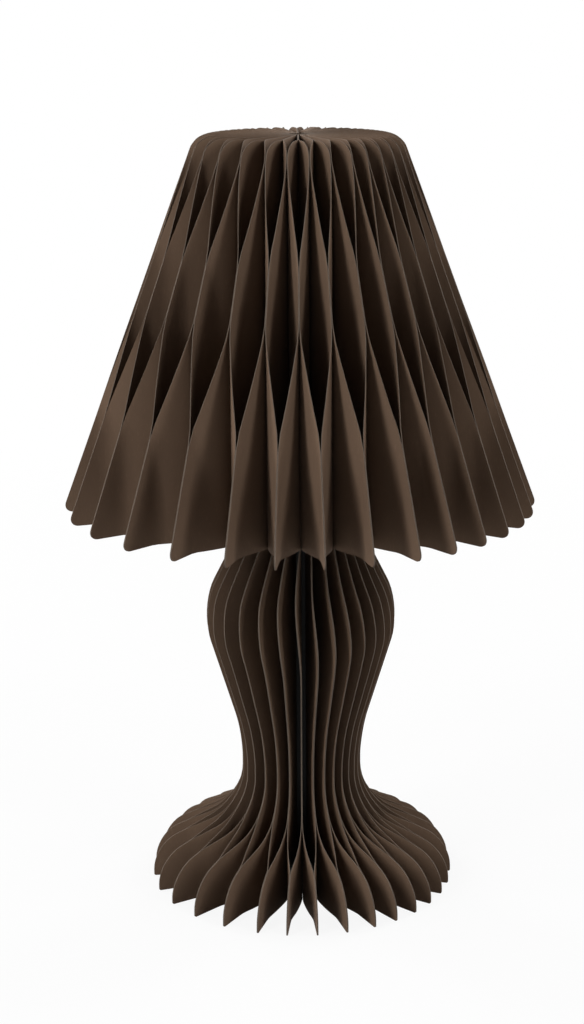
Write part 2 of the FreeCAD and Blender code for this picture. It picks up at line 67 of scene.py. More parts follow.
CAD_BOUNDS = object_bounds()
LEAF_NODES = sorted(name for name in NODES if name.startswith("leaf_pair_"))

# The photograph's frame, and the stage.
PHOTO_WIDTH = 584
PHOTO_HEIGHT = 1024
SENSOR_HEIGHT = 24.0
FLOOR_SIDES = 64
LIGHT_TARGET = (0.0, 0.0, 0.18)
UNDER_LIGHT_ASIDE = (0.3, -0.6)

# The room that the leaves leave round the light unit.
STEM_CLEARANCE = 0.001
BASE_CLEARANCE = 0.002
LEDGE_CLEARANCE = 0.0003
CAP_CLEARANCE = 0.003
CORE_RADIUS = 0.0042

# The seam: one end board, and how near to it a valley counts as the seam.
BOARD_THICKNESS = 0.0012
SEAM_REACH = math.radians(2)

# How finely a leaf is cut up, read and shaded.
CORNER_SEGMENTS = 9
CUT_TOLERANCE = 1e-6
MERGE_DISTANCE = 5e-5
OUTER_BAND = 0.0002
SHARP_FOLD = math.radians(40)

# Where the vase's ribs start to lean, and where they lean fully.
LEAN_BY_HEIGHT = (0.104, 0.154)
LEAN_BY_RADIUS = (0.020, 0.042)
LEAN_FADES = (0.160, 0.172)

# Steps through the noise that makes the paper uneven.
WOBBLE_PER_RIB = 3.7
WOBBLE_PER_HEIGHT = 9.0
WOBBLE_SLICE = 1.3
WOBBLE_GAIN = 1.6
RIPPLE_PER_RADIUS = 34.0
RIPPLE_PER_HEIGHT = 11.0
RIPPLE_PER_PAIR = 5.1

# Sockets of the Mix node that share their names with others.
MIX_SHARE, MIX_FIRST_COLOUR, MIX_SECOND_COLOUR = 0, 6, 7
MIX_COLOUR_RESULT = 2


# ------------------------------------------------------------------ settings
def length(name, description, default):
    """A size in metres."""
    return FloatProperty(name=name, description=description, default=default,
                         unit="LENGTH", precision=4, min=0.0)


def colour(name, description, default):
    """A base colour, in linear shares of red, green and blue."""
    return FloatVectorProperty(name=name, description=description, default=default,
                               subtype="COLOR", size=3, min=0.0, max=1.0)


class PaperSettings(bpy.types.PropertyGroup):
    rim_radius: length("Rim radius", "Where the shade's slope would meet the hem", 0.1068)
    hem_height: length("Hem height", "Height of the shade's lower edge", 0.1783)
    hem_tip_rounding: length("Hem tip rounding", "Radius of the shade's lower tips", 0.0033)
    hem_fillet: length("Hem fillet", "Radius between the hem and the upper neck", 0.005)
    top_radius: length("Top radius", "Where the slope would meet the flat top", 0.0447)
    top_rounding: length("Top rounding", "Radius of the shade's upper corner", 0.0086)
    neck_radius: length("Neck radius", "Narrowest radius of the vase", 0.0275)
    upper_neck_height: length("Upper neck height", "Where neck and shoulder meet", 0.1675)
    upper_neck_rounding: length("Upper neck rounding", "Radius of that corner", 0.015)
    belly_radius: length("Belly corner", "Where shoulder and body slope would meet", 0.0461)
    belly_height: length("Belly height", "Height of that corner", 0.1308)
    belly_rounding: length("Belly rounding", "Radius of the belly", 0.036)
    lower_neck_height: length("Lower neck height", "Where body slope and neck meet", 0.0699)
    lower_neck_rounding: length("Lower neck rounding", "Radius of that corner", 0.080)
    flare_height: length("Flare height", "Where neck and foot slope would meet", 0.03635)
    flare_rounding: length("Flare rounding", "Radius of that corner", 0.028)
    foot_radius: length("Foot radius", "Radius of the foot's upright edge", 0.070)
    foot_slope_height: length("Foot slope height", "Where slope and edge would meet", 0.0151)
    foot_rounding: length("Foot rounding", "Radius of that corner", 0.0196)
    foot_tip_rounding: length("Foot tip rounding", "Radius of the foot's lower tips", 0.0008)
    thickness: length("Paper thickness", "Thickness of one leaf", 0.0003)
    glue_line: length("Glue line", "Film of glue between two leaves", 0.00004)
    inner_glue_end: length("Inner glue end", "Leaves of next pairs part here", 0.0335)
    foot_tip_glue: length("Foot tip glue", "The foot's leaves join in pairs here", 0.0535)
    shade_tip_glue: length("Shade tip glue", "Inner stripe that joins pairs", 0.04715)
    shade_tip_stripe: length("Shade tip stripe", "Width of that stripe", 0.0023)
    shade_valley_glue: length("Shade valley glue", "Stripe that joins next pairs", 0.06725)
    shade_valley_stripe: length("Shade valley stripe", "Width of that stripe", 0.0105)
    rim_glue: length("Rim glue", "Leaves join in pairs from here to the rim", 0.088)
    crease_rounding: length("Crease rounding", "How far a fold is spread", 0.0014)
    radial_step: length("Radial step", "Mesh spacing across a leaf", 0.003)
    height_step: length("Height step", "Mesh spacing up a leaf", 0.007)
    lean: FloatProperty(name="Vase lean", description="Turn of the vase's ribs at its shoulder",
                        default=math.radians(-4.0), subtype="ANGLE")
    wobble: FloatProperty(name="Wobble", description="Unevenness of the glued ribs",
                          default=math.radians(0.32), subtype="ANGLE")
    ripple: length("Ripple", "Unevenness of the free paper between ribs", 0.00035)
    paper_colour: colour("Paper", "Face of the dyed paper", (0.099, 0.0640, 0.0425))
    edge_colour: colour("Cut edge", "Die-cut edge of the paper", (0.085, 0.066, 0.052))
    board_colour: colour("Seam board", "Paper-covered end boards", (0.093, 0.060, 0.040))


class LightUnitSettings(bpy.types.PropertyGroup):
    plastic_colour: colour("Plastic", "Base, collar and caps", (0.020, 0.018, 0.017))
    rubber_colour: colour("Rubber", "Ring the unit stands on", (0.011, 0.011, 0.011))
    button_colour: colour("Button", "Button in the underside", (0.50, 0.49, 0.46))
    stem_colour: colour("Stem", "Black anodised tube", (0.007, 0.0065, 0.006))
    diffuser_colour: colour("Diffuser", "Frosted tube", (0.66, 0.64, 0.60))
    board_colour: colour("Circuit board", "Solder mask", (0.008, 0.09, 0.035))
    cell_colour: colour("Cell wrap", "Shrink sleeve of the cell", (0.02, 0.10, 0.28))


class StageSettings(bpy.types.PropertyGroup):
    camera_distance: length("Camera distance", "Level distance from the lamp's axis", 0.888)
    camera_height: length("Camera height", "Above the table", 0.413)
    camera_pitch: FloatProperty(name="Pitch", description="Downward tilt of the camera",
                                default=math.radians(14.99), subtype="ANGLE")
    camera_roll: FloatProperty(name="Roll", description="Turn of the camera about its view",
                               default=math.radians(-0.31), subtype="ANGLE")
    focal_pixels: FloatProperty(name="Focal length", default=2032.0,
                                description="In pixels of the photograph")
    centre_column: FloatProperty(name="Centre column", default=300.2,
                                 description="Column that the camera points at")
    floor_radius: length("Floor radius", "Far enough to fill the camera's view", 40.0)
    floor_opening: length("Floor opening", "Under the base's ring, to see the underside", 0.0257)
    floor_glow: FloatProperty(name="Floor glow", description="Share of plain white near the lamp",
                              default=0.9, min=0.0, max=1.0)
    shadow_reach: length("Shadow reach", "The floor is plain white from here on", 0.9)
    side_angle: FloatProperty(name="Side angle", description="Side lights, from the camera's side",
                              default=math.radians(50.0), subtype="ANGLE")
    rim_angle: FloatProperty(name="Rim angle", description="Rim lights, from the camera's side",
                             default=math.radians(86.0), subtype="ANGLE")
    back_angle: FloatProperty(name="Back angle", description="Back lights, from the camera's side",
                              default=math.radians(134.0), subtype="ANGLE")
    light_distance: length("Light distance", "From the axis to each side light", 1.35)
    light_height: length("Light height", "Middle of each side light", 0.88)
    light_width: length("Light width", "Width of each upright side light", 0.25)
    light_tall: length("Light tallness", "Height of each upright side light", 1.1)
    top_height: length("Top light height", "Height of the light above", 1.8)
    top_width: length("Top light width", "Side of the square light above", 0.5)
    left_power: FloatProperty(name="Left light", description="Watts of the light on the left",
                              default=22.0, min=0.0)
    right_power: FloatProperty(name="Right light", description="Watts of the light on the right",
                               default=13.0, min=0.0)
    left_rim_power: FloatProperty(name="Left rim light", default=12.0, min=0.0,
                                  description="Watts of the rim light on the left")
    right_rim_power: FloatProperty(name="Right rim light", default=8.0, min=0.0,
                                   description="Watts of the rim light on the right")
    back_power: FloatProperty(name="Back light", description="Watts of each back light",
                              default=17.0, min=0.0)
    top_power: FloatProperty(name="Top light", description="Watts of the light above",
                             default=2.2, min=0.0)
    under_power: FloatProperty(name="Under light", default=30.0, min=0.0,
                               description="Watts of the light below the floor")
    sky_strength: FloatProperty(name="Sky", description="Light from all round",
                                default=0.005, min=0.0)


# ------------------------------------------------------------------- finishes
class Value:
    """A shader output that can stand in sums: each sign adds a Math node."""

    def __init__(self, graph, socket):
        self.graph = graph
        self.socket = socket

    def combine(self, operation, first, second):
        return self.graph.add("ShaderNodeMath", {"operation": operation},
                              {0: first, 1: second})

    def __add__(self, other):
        return self.combine("ADD", self, other)

    def __radd__(self, other):
        return self.combine("ADD", other, self)

    def __sub__(self, other):
        return self.combine("SUBTRACT", self, other)

    def __rsub__(self, other):
        return self.combine("SUBTRACT", other, self)

    def __mul__(self, other):
        return self.combine("MULTIPLY", self, other)

    def __rmul__(self, other):
        return self.combine("MULTIPLY", other, self)


class Graph:
    """The nodes of a finish or of the sky."""

    def __init__(self, tree):
        self.tree = tree

    def connect(self, target, source):
        """Links a value to a socket, or sets a number or colour on it."""
        if isinstance(source, Value):
            self.tree.links.new(source.socket, target)
        elif target.type == "RGBA" and len(source) == 3:
            target.default_value = (*source, 1.0)
        else:
            target.default_value = source

    def add(self, kind, settings=None, inputs=None, output=0):
        """Adds a node, sets it, feeds its inputs, and gives one of its outputs."""
        node = self.tree.nodes.new(kind)
        for name, value in (settings or {}).items():
            setattr(node, name, value)
        for name, source in (inputs or {}).items():
            self.connect(node.inputs[name], source)
        return Value(self, node.outputs[output])

    def background_rays(self):
        """1 for the rays that see the white background, 0 for those that carry light."""
        camera, glossy, through = (
            self.add("ShaderNodeLightPath", output=ray)
            for ray in ("Is Camera Ray", "Is Glossy Ray", "Is Transmission Ray"))
        return camera + glossy + through


class Finish(Graph):
    """One material: a Principled shader and the nodes that feed it."""

    def __init__(self, name, constants=None):
        self.material = bpy.data.materials.new(name)
        self.material.use_nodes = True
        super().__init__(self.material.node_tree)
        self.shader = self.tree.nodes["Principled BSDF"]
        for socket_name, value in (constants or {}).items():
            self.shader.inputs[socket_name].default_value = value

    def feed(self, name, source):
        self.connect(self.shader.inputs[name], source)

    def place(self):
        """The point on the object, in metres."""
        return self.add("ShaderNodeTexCoord", output="Object")

    def flat_place(self):
        """The point on the flat sheet, before it was folded."""
        return self.add("ShaderNodeUVMap", {"uv_map": "sheet"})

    def axes(self):
        """The three Object coordinates, one by one."""
        first = self.add("ShaderNodeSeparateXYZ", {}, {"Vector": self.place()})
        return [Value(self, socket) for socket in first.socket.node.outputs]

    def size_of(self, value):
        """The value without its sign."""
        return self.add("ShaderNodeMath", {"operation": "ABSOLUTE"}, {0: value})

    def past(self, value, limit, spread=0.00005):
        """0 below a limit and 1 above it."""
        return self.add("ShaderNodeMapRange", {}, {
            "Value": value, "From Min": limit - spread, "From Max": limit + spread})

    def stretched(self, place, scale):
        """A place whose pattern is drawn out where the scale is under 1."""
        return self.add("ShaderNodeMapping", {}, {"Vector": place, "Scale": scale})

    def grain(self, place, scale, detail=2.0, roughness=0.5):
        return self.add("ShaderNodeTexNoise", {}, {
            "Vector": place, "Scale": scale, "Detail": detail, "Roughness": roughness})

    def blend(self, share, first, second):
        """Mixes two colours by a share from 0 to 1."""
        return self.add("ShaderNodeMix", {"data_type": "RGBA"}, {
            MIX_SHARE: share, MIX_FIRST_COLOUR: first, MIX_SECOND_COLOUR: second},
            output=MIX_COLOUR_RESULT)

    def bump(self, height, distance, strength=1.0):
        normal = self.add("ShaderNodeBump", {}, {
            "Height": height, "Distance": distance, "Strength": strength})
        self.feed("Normal", normal)


def shade(base, share):
    """The colour, darker below a share of 1 and lighter above it."""
    return tuple(min(1.0, part * share) for part in base)


def paper_finish(name, base, on_sheet=True):
    """Dyed paper: long fibres, a fine tooth and faint clouding."""
    finish = Finish(name, {"Specular IOR Level": 0.1})
    sheet = finish.flat_place() if on_sheet else finish.place()
    cloud = finish.grain(sheet, 28.0, 3.0)
    fibre = finish.grain(finish.stretched(sheet, (1.0, 0.22, 1.0)), 1500.0, 2.0)
    tooth = finish.grain(sheet, 2600.0, 1.0)
    tone = finish.blend(cloud, shade(base, 0.86), shade(base, 1.14))
    fleck = finish.add("ShaderNodeMapRange", {}, {
        "Value": fibre, "From Min": 0.58, "From Max": 0.80, "To Min": 0.0, "To Max": 0.35})
    finish.feed("Base Color", finish.blend(fleck, tone, shade(base, 1.5)))
    finish.feed("Roughness", 0.76 + 0.14 * tooth)
    finish.bump(fibre + tooth * 0.6, 0.00004, 0.5)
    return finish.material


def cut_edge_finish(name, base):
    """Die-cut edge: the paper's paler core, with fuzz along it."""
    finish = Finish(name, {"Roughness": 0.9, "Specular IOR Level": 0.1})
    place = finish.place()
    fuzz = finish.grain(place, 900.0, 3.0)
    finish.feed("Base Color", finish.blend(fuzz, shade(base, 0.72), shade(base, 1.25)))
    finish.bump(fuzz, 0.00005, 0.6)
    return finish.material


def moulded_finish(name, base, roughness=0.5):
    """Moulded plastic with a fine spark-eroded grain."""
    finish = Finish(name)
    place = finish.place()
    spark = finish.grain(place, 2200.0, 2.0)
    handled = finish.grain(place, 60.0, 3.0)
    finish.feed("Base Color", finish.blend(handled, shade(base, 0.9), shade(base, 1.15)))
    finish.feed("Roughness", roughness - 0.06 + 0.14 * handled)
    finish.bump(spark, 0.00003, 0.4)
    return finish.material


def rubber_finish(name, base):
    """Soft rubber with fine pores and a little dust."""
    finish = Finish(name, {"Specular IOR Level": 0.35})
    place = finish.place()
    dust = finish.grain(place, 90.0, 4.0)
    pores = finish.grain(place, 1600.0, 2.0)
    finish.feed("Base Color", finish.blend(dust, base, shade(base, 2.2)))
    finish.feed("Roughness", 0.72 + 0.2 * dust)
    finish.bump(pores, 0.00004, 0.5)
    return finish.material


def drawn_metal_finish(name, base, roughness, stretch):
    """Metal with fine lines along the way it was drawn, turned or rolled."""
    finish = Finish(name, {"Metallic": 1.0})
    lines = finish.grain(finish.stretched(finish.place(), stretch), 900.0, 3.0)
    haze = finish.grain(finish.place(), 45.0, 3.0)
    finish.feed("Base Color", finish.blend(haze, shade(base, 0.92), shade(base, 1.06)))
    finish.feed("Roughness", roughness - 0.08 + 0.12 * haze + 0.08 * lines)
    finish.bump(lines, 0.00001, 0.35)
    return finish.material


def anodised_finish(name, base):
    """Drawn tube, dyed black: fine lines along it under a matt film."""
    finish = Finish(name, {"Specular IOR Level": 0.3})
    lines = finish.grain(finish.stretched(finish.place(), (1, 1, 0.02)), 1100.0, 3.0)
    haze = finish.grain(finish.place(), 50.0, 3.0)
    finish.feed("Base Color", finish.blend(haze, base, shade(base, 1.8)))
    finish.feed("Roughness", 0.46 + 0.12 * haze + 0.1 * lines)
    finish.bump(lines, 0.00001, 0.3)
    return finish.material


def opal_finish(name, base):
    """Extruded opal tube: faint draw lines and a soft haze of handling."""
    finish = Finish(name)
    lines = finish.grain(finish.stretched(finish.place(), (1, 1, 0.015)), 700.0, 2.0)
    haze = finish.grain(finish.place(), 38.0, 3.0)
    finish.feed("Base Color", finish.blend(haze, shade(base, 0.95), shade(base, 1.04)))
    finish.feed("Roughness", 0.42 + 0.16 * haze)
    finish.bump(lines, 0.00002, 0.3)
    return finish.material


def circuit_finish(name, base):
    """Solder mask with the copper runs showing through as paler lines."""
    finish = Finish(name)
    runs = finish.add("ShaderNodeTexBrick", {"offset": 0.37, "squash": 0.6}, {
        "Vector": finish.place(), "Scale": 420.0, "Mortar Size": 0.06,
        "Brick Width": 1.6, "Row Height": 0.5}, output="Fac")
    patch = finish.grain(finish.place(), 260.0, 1.0)
    copper = runs * finish.past(patch, 0.48, 0.02)
    finish.feed("Base Color", finish.blend(copper, base, shade(base, 2.2)))
    finish.feed("Roughness", 0.28 + 0.15 * patch)
    finish.bump(copper, 0.00003, 0.5)
    return finish.material


def cell_finish(name, base):
    """Shrink sleeve round the can, bare steel at both ends."""
    low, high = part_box("battery_cell")
    sleeve_start = low.z + 0.0005
    sleeve_end = high.z - 0.0021
    finish = Finish(name)
    _, _, height = finish.axes()
    sleeve = finish.past(height, sleeve_start) * (1 - finish.past(height, sleeve_end))
    crinkle = finish.grain(finish.stretched(finish.place(), (1, 1, 0.3)), 500.0, 2.0)
    haze = finish.grain(finish.place(), 60.0, 2.0)
    wrap = finish.blend(haze, shade(base, 0.9), shade(base, 1.2))
    finish.feed("Base Color", finish.blend(sleeve, (0.56, 0.55, 0.52), wrap))
    finish.feed("Metallic", 1 - sleeve)
    finish.feed("Roughness", 0.24 + 0.12 * haze)
    finish.bump(crinkle * sleeve, 0.00003, 0.3)
    return finish.material


def wire_finish(name, red, black):
    """Silicone sleeves: red on one side of the lamp, black on the other."""
    finish = Finish(name)
    across, _, _ = finish.axes()
    skin = finish.grain(finish.place(), 900.0, 2.0)
    colours = finish.blend(finish.past(across, 0.0), black, red)
    finish.feed("Base Color", finish.blend(0.2 * skin, colours, (0.6, 0.6, 0.6)))
    finish.feed("Roughness", 0.42 + 0.14 * skin)
    finish.bump(skin, 0.00002, 0.3)
    return finish.material


def light_board_finish(name, mask, phosphor):
    """White boards with yellow light chips that stand out from them."""
    low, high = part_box("led_strips")
    chip_depth = 0.0007
    chip_foot = (high.y - low.y) / 2 - chip_depth
    finish = Finish(name)
    across, along, _ = finish.axes()
    reach = finish.add("ShaderNodeMath", {"operation": "MAXIMUM"}, {
        0: finish.size_of(across), 1: finish.size_of(along)})
    chip = finish.past(reach, chip_foot)
    speck = finish.grain(finish.place(), 1500.0, 2.0)
    board = finish.blend(speck, shade(mask, 0.94), mask)
    glow_coat = finish.blend(speck, shade(phosphor, 0.9), shade(phosphor, 1.1))
    finish.feed("Base Color", finish.blend(chip, board, glow_coat))
    finish.feed("Roughness", 0.32 + 0.25 * chip + 0.1 * speck)
    finish.bump(speck, 0.00002, 0.3)
    return finish.material


def socket_finish(name, steel, tongue):
    """Drawn steel shell round a black tongue."""
    low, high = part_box("usb_c_socket")
    middle = (low.y + high.y) / 2
    half_width, half_depth = 0.0034, 0.0005
    finish = Finish(name)
    across, along, _ = finish.axes()
    outside = finish.past(finish.size_of(across), half_width)
    beside = finish.past(finish.size_of(along - middle), half_depth)
    shell = finish.add("ShaderNodeMath", {"operation": "MAXIMUM"}, {0: outside, 1: beside})
    haze = finish.grain(finish.place(), 300.0, 3.0)
    bright = finish.blend(haze, shade(steel, 0.9), shade(steel, 1.1))
    finish.feed("Base Color", finish.blend(shell, tongue, bright))
    finish.feed("Metallic", shell)
    finish.feed("Roughness", 0.30 + 0.14 * haze)
    finish.bump(haze, 0.00001, 0.3)
    return finish.material


# ------------------------------------------------------------------ paper body
def leaf_outline(paper, closes_in):
    """Corners (radius, height, rounding) of a leaf, from its inner foot round."""
    base_low, base_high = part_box("base_shell")
    stem_low, stem_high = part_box("stem_tube")
    stem_hole = (stem_high.x - stem_low.x) / 2 + STEM_CLEARANCE
    base_hole = (base_high.x - base_low.x) / 2 + BASE_CLEARANCE
    ledge = base_high.z + LEDGE_CLEARANCE
    top = CAD_BOUNDS[1][2]
    corners = [(base_hole, 0.0, 0.0), (base_hole, ledge, 0.0), (stem_hole, ledge, 0.0)]
    if closes_in:
        _, cap_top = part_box("diffuser_cap")
        closing = cap_top.z + CAP_CLEARANCE
        corners += [(stem_hole, closing, 0.0), (CORE_RADIUS, closing, 0.0),
                    (CORE_RADIUS, top, 0.0)]
    else:
        corners.append((stem_hole, top, 0.0))
    return corners + [
        (paper.top_radius, top, paper.top_rounding),
        (paper.rim_radius, paper.hem_height, paper.hem_tip_rounding),
        (paper.neck_radius, paper.hem_height, paper.hem_fillet),
        (paper.neck_radius, paper.upper_neck_height, paper.upper_neck_rounding),
        (paper.belly_radius, paper.belly_height, paper.belly_rounding),
        (paper.neck_radius, paper.lower_neck_height, paper.lower_neck_rounding),
        (paper.neck_radius, paper.flare_height, paper.flare_rounding),
        (paper.foot_radius, paper.foot_slope_height, paper.foot_rounding),
        (paper.foot_radius, 0.0, paper.foot_tip_rounding)]


def flat_leaf(paper, closes_in):
    """A flat leaf in the XZ plane, with rounded corners and a grid of cuts."""
    bm = bmesh.new()
    corners = leaf_outline(paper, closes_in)
    verts = [bm.verts.new((radius, 0.0, height)) for radius, height, _ in corners]
    bm.faces.new(verts)
    for index, (_, _, rounding) in enumerate(corners):
        if rounding == 0.0:
            continue
        here = Vector(corners[index][:2])
        before = Vector(corners[index - 1][:2]) - here
        after = Vector(corners[(index + 1) % len(corners)][:2]) - here
        reach = rounding / math.tan(before.angle(after) / 2)
        bmesh.ops.bevel(bm, geom=[verts[index]], offset=reach, offset_type="OFFSET",
                        segments=CORNER_SEGMENTS, profile=0.5, affect="VERTICES", material=-1)
    for axis, step in ((Vector((1, 0, 0)), paper.radial_step),
                       (Vector((0, 0, 1)), paper.height_step)):
        reach = CAD_BOUNDS[1][2] if axis.z else paper.rim_radius
        for index in range(1, int(reach / step) + 1):
            geometry = bm.verts[:] + bm.edges[:] + bm.faces[:]
            bmesh.ops.bisect_plane(bm, geom=geometry, dist=CUT_TOLERANCE,
                                   plane_co=axis * step * index, plane_no=axis)
    bmesh.ops.remove_doubles(bm, verts=bm.verts[:], dist=MERGE_DISTANCE)
    mesh = bpy.data.meshes.new("flat_leaf")
    bm.to_mesh(mesh)
    bm.free()
    return mesh


def straight_wave(stations, radius):
    """State between stations (radius, state), level before and after them."""
    if radius <= stations[0][0]:
        return stations[0][1]
    for (start, start_state), (end, end_state) in zip(stations, stations[1:]):
        if radius <= end:
            return start_state + (end_state - start_state) * (radius - start) / (end - start)
    return stations[-1][1]


def glue_state(paper, radius, height):
    """+1 where a leaf lies on its mate, -1 where it lies on the next pair."""
    inner = (paper.inner_glue_end, -1.0)
    tip = paper.shade_tip_glue
    tip_half = paper.shade_tip_stripe / 2
    valley = paper.shade_valley_glue
    valley_half = paper.shade_valley_stripe / 2
    if height < (paper.flare_height + paper.lower_neck_height) / 2:
        stations = [inner, (paper.foot_tip_glue, 1.0)]
    elif height < (paper.upper_neck_height + paper.hem_height) / 2:
        return -1.0
    else:
        stations = [inner, (tip - tip_half, 1.0), (tip + tip_half, 1.0),
                    (valley - valley_half, -1.0), (valley + valley_half, -1.0),
                    (paper.rim_glue, 1.0)]
    spread = paper.crease_rounding
    samples = (radius - spread, radius, radius + spread)
    return sum(straight_wave(stations, sample) for sample in samples) / 3


def eased(value, span):
    """Share from 0 to 1 of the way through a span, eased at both ends."""
    start, end = span
    share = min(1.0, max(0.0, (value - start) / (end - start)))
    return share * share * (3 - 2 * share)


def rib_wobble(paper, rib, height):
    """Slow sideways error of one glued rib, the same for both its leaves."""
    place = Vector((rib * WOBBLE_PER_RIB, height * WOBBLE_PER_HEIGHT, WOBBLE_SLICE))
    return paper.wobble * noise.noise(place) * WOBBLE_GAIN


def vase_lean(paper, rib_angle, radius, height):
    """The ribs of the vase lean over at its shoulder, most in front."""
    rise = eased(height, LEAN_BY_HEIGHT) * (1 - eased(height, LEAN_FADES))
    in_front = (1 + math.cos(rib_angle)) / 2
    return paper.lean * rise * eased(radius, LEAN_BY_RADIUS) * in_front


def far_angle(node):
    """Angle round the axis of the outermost points of a CAD node."""
    points = [vertex.co for vertex in NODES[node].data.vertices]
    reach = max(math.hypot(point.x, point.y) for point in points)
    middle = Vector((0.0, 0.0))
    for point in points:
        if math.hypot(point.x, point.y) > reach - OUTER_BAND:
            middle += Vector((point.x, point.y))
    return math.atan2(middle.x, -middle.y)


def fan_angles():
    """Tip angle of every pair, and the angle of the valley after it."""
    tips = []
    for name in LEAF_NODES:
        angle = far_angle(name)
        while tips and angle < tips[-1]:
            angle += 2 * math.pi
        tips.append(angle)
    following = tips[1:] + [tips[0] + 2 * math.pi]
    return tips, [(tip + after) / 2 for tip, after in zip(tips, following)]


def fold_leaf(paper, verts, pair, side, tip, valley, seam_gap):
    """Bends flat vertices between the pair's tip plane and one valley plane."""
    half_glue = (paper.thickness + paper.glue_line) / 2
    count = len(LEAF_NODES)
    tip_rib = 2 * pair
    valley_rib = (2 * pair + side) % (2 * count)
    for vert in verts:
        radius, height = vert.co.x, vert.co.z
        state = glue_state(paper, radius, height)
        tip_angle = tip + rib_wobble(paper, tip_rib, height)
        valley_angle = valley
        if seam_gap == 0.0:
            valley_angle += rib_wobble(paper, valley_rib, height)
            valley_angle += vase_lean(paper, valley, radius, height)
        share = (1 - state) / 2
        angle = tip_angle + (valley_angle - tip_angle) * share
        offset = side * (half_glue * state - seam_gap * share)
        free = 1 - state * state
        offset += paper.ripple * free * noise.noise(Vector((
            radius * RIPPLE_PER_RADIUS, height * RIPPLE_PER_HEIGHT,
            pair * RIPPLE_PER_PAIR + side)))
        vert.co = Vector((radius * math.sin(angle) + offset * math.cos(angle),
                          -radius * math.cos(angle) + offset * math.sin(angle), height))


def thicken(obj, thickness):
    """Gives a sheet its thickness, with the cut edge in the second finish."""
    solidify = obj.modifiers.new("thickness", "SOLIDIFY")
    solidify.thickness = thickness
    solidify.offset = 0.0
    solidify.use_even_offset = True
    solidify.material_offset_rim = 1
    bpy.context.view_layer.update()
    graph = bpy.context.evaluated_depsgraph_get()
    thick = bpy.data.meshes.new_from_object(obj.evaluated_get(graph))
    obj.modifiers.clear()
    old = obj.data
    obj.data = thick
    bpy.data.meshes.remove(old)
    for vertex in thick.vertices:
        vertex.co.z = min(max(vertex.co.z, 0.0), CAD_BOUNDS[1][2])
    thick.set_sharp_from_angle(angle=SHARP_FOLD)


def add_piece(name, mesh, body, slot, *replaced):
    """Links a finished mesh as a piece of one body."""
    obj = bpy.data.objects.new(name, mesh)
    bpy.context.scene.collection.objects.link(obj)
    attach(obj, body)
    if replaced:
        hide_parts(*replaced)
    return obj


def set_sheet_places(bm):
    """Keeps each point's place on the flat sheet, for patterns that follow it."""
    layer = bm.loops.layers.uv.new("sheet")
    for face in bm.faces:
        for loop in face.loops:
            loop[layer].uv = (loop.vert.co.x, loop.vert.co.z)


class LAMP_OT_paper_leaves(bpy.types.Operator):
    """Folds the paper leaves and joins them in pairs"""
    bl_idname = "lamp.paper_leaves"
    bl_label = "Paper Leaves"

    def execute(self, context):
        paper = context.scene.lamp_paper
        faces = paper_finish("brown_paper", paper.paper_colour)
        edges = cut_edge_finish("brown_paper_cut_edge", paper.edge_colour)
        whole = flat_leaf(paper, True)
        beside_board = flat_leaf(paper, False)
        tips, valleys = fan_angles()
        seam = (far_angle("seam_board_right") + far_angle("seam_board_left")) / 2
        board = BOARD_THICKNESS + paper.glue_line
        for pair, name in enumerate(LEAF_NODES):
            before = valleys[pair - 1] if pair else valleys[-1] - 2 * math.pi
            left_at_seam, right_at_seam = (
                abs(math.remainder(valley - seam, 2 * math.pi)) < SEAM_REACH
                for valley in (before, valleys[pair]))
            bm = bmesh.new()
            bm.from_mesh(beside_board if left_at_seam else whole)
            left_count = len(bm.verts)
            bm.from_mesh(beside_board if right_at_seam else whole)
            set_sheet_places(bm)
            bm.verts.ensure_lookup_table()
            fold_leaf(paper, bm.verts[:left_count], pair, -1, tips[pair], before,
                      board if left_at_seam else 0.0)
            fold_leaf(paper, bm.verts[left_count:], pair, 1, tips[pair], valleys[pair],
                      board if right_at_seam else 0.0)
            for face in bm.faces:
                face.smooth = True
            mesh = bpy.data.meshes.new("paper_" + name)
            bm.to_mesh(mesh)
            bm.free()
            mesh.materials.append(faces)
            mesh.materials.append(edges)
            piece = add_piece("paper_" + name, mesh, "paper_body", "paper", name)
            thicken(piece, paper.thickness)
        bpy.data.meshes.remove(whole)
        bpy.data.meshes.remove(beside_board)
        return {"FINISHED"}


def dress(finish, *nodes):
    """Gives CAD nodes a finish."""
    for node in nodes:
        NODES[node].data.materials.clear()
        NODES[node].data.materials.append(finish)


class LAMP_OT_seam(bpy.types.Operator):
    """Finishes the end boards and the magnets of the seam"""
    bl_idname = "lamp.seam"
    bl_label = "Seam Boards"

    def execute(self, context):
        paper = context.scene.lamp_paper
        dress(paper_finish("board_cover", paper.board_colour, on_sheet=False),
              "seam_board_left", "seam_board_right")
        dress(drawn_metal_finish("magnet_plating", (0.6, 0.59, 0.57), 0.2, (1, 1, 1)),
              "seam_magnets")
        return {"FINISHED"}


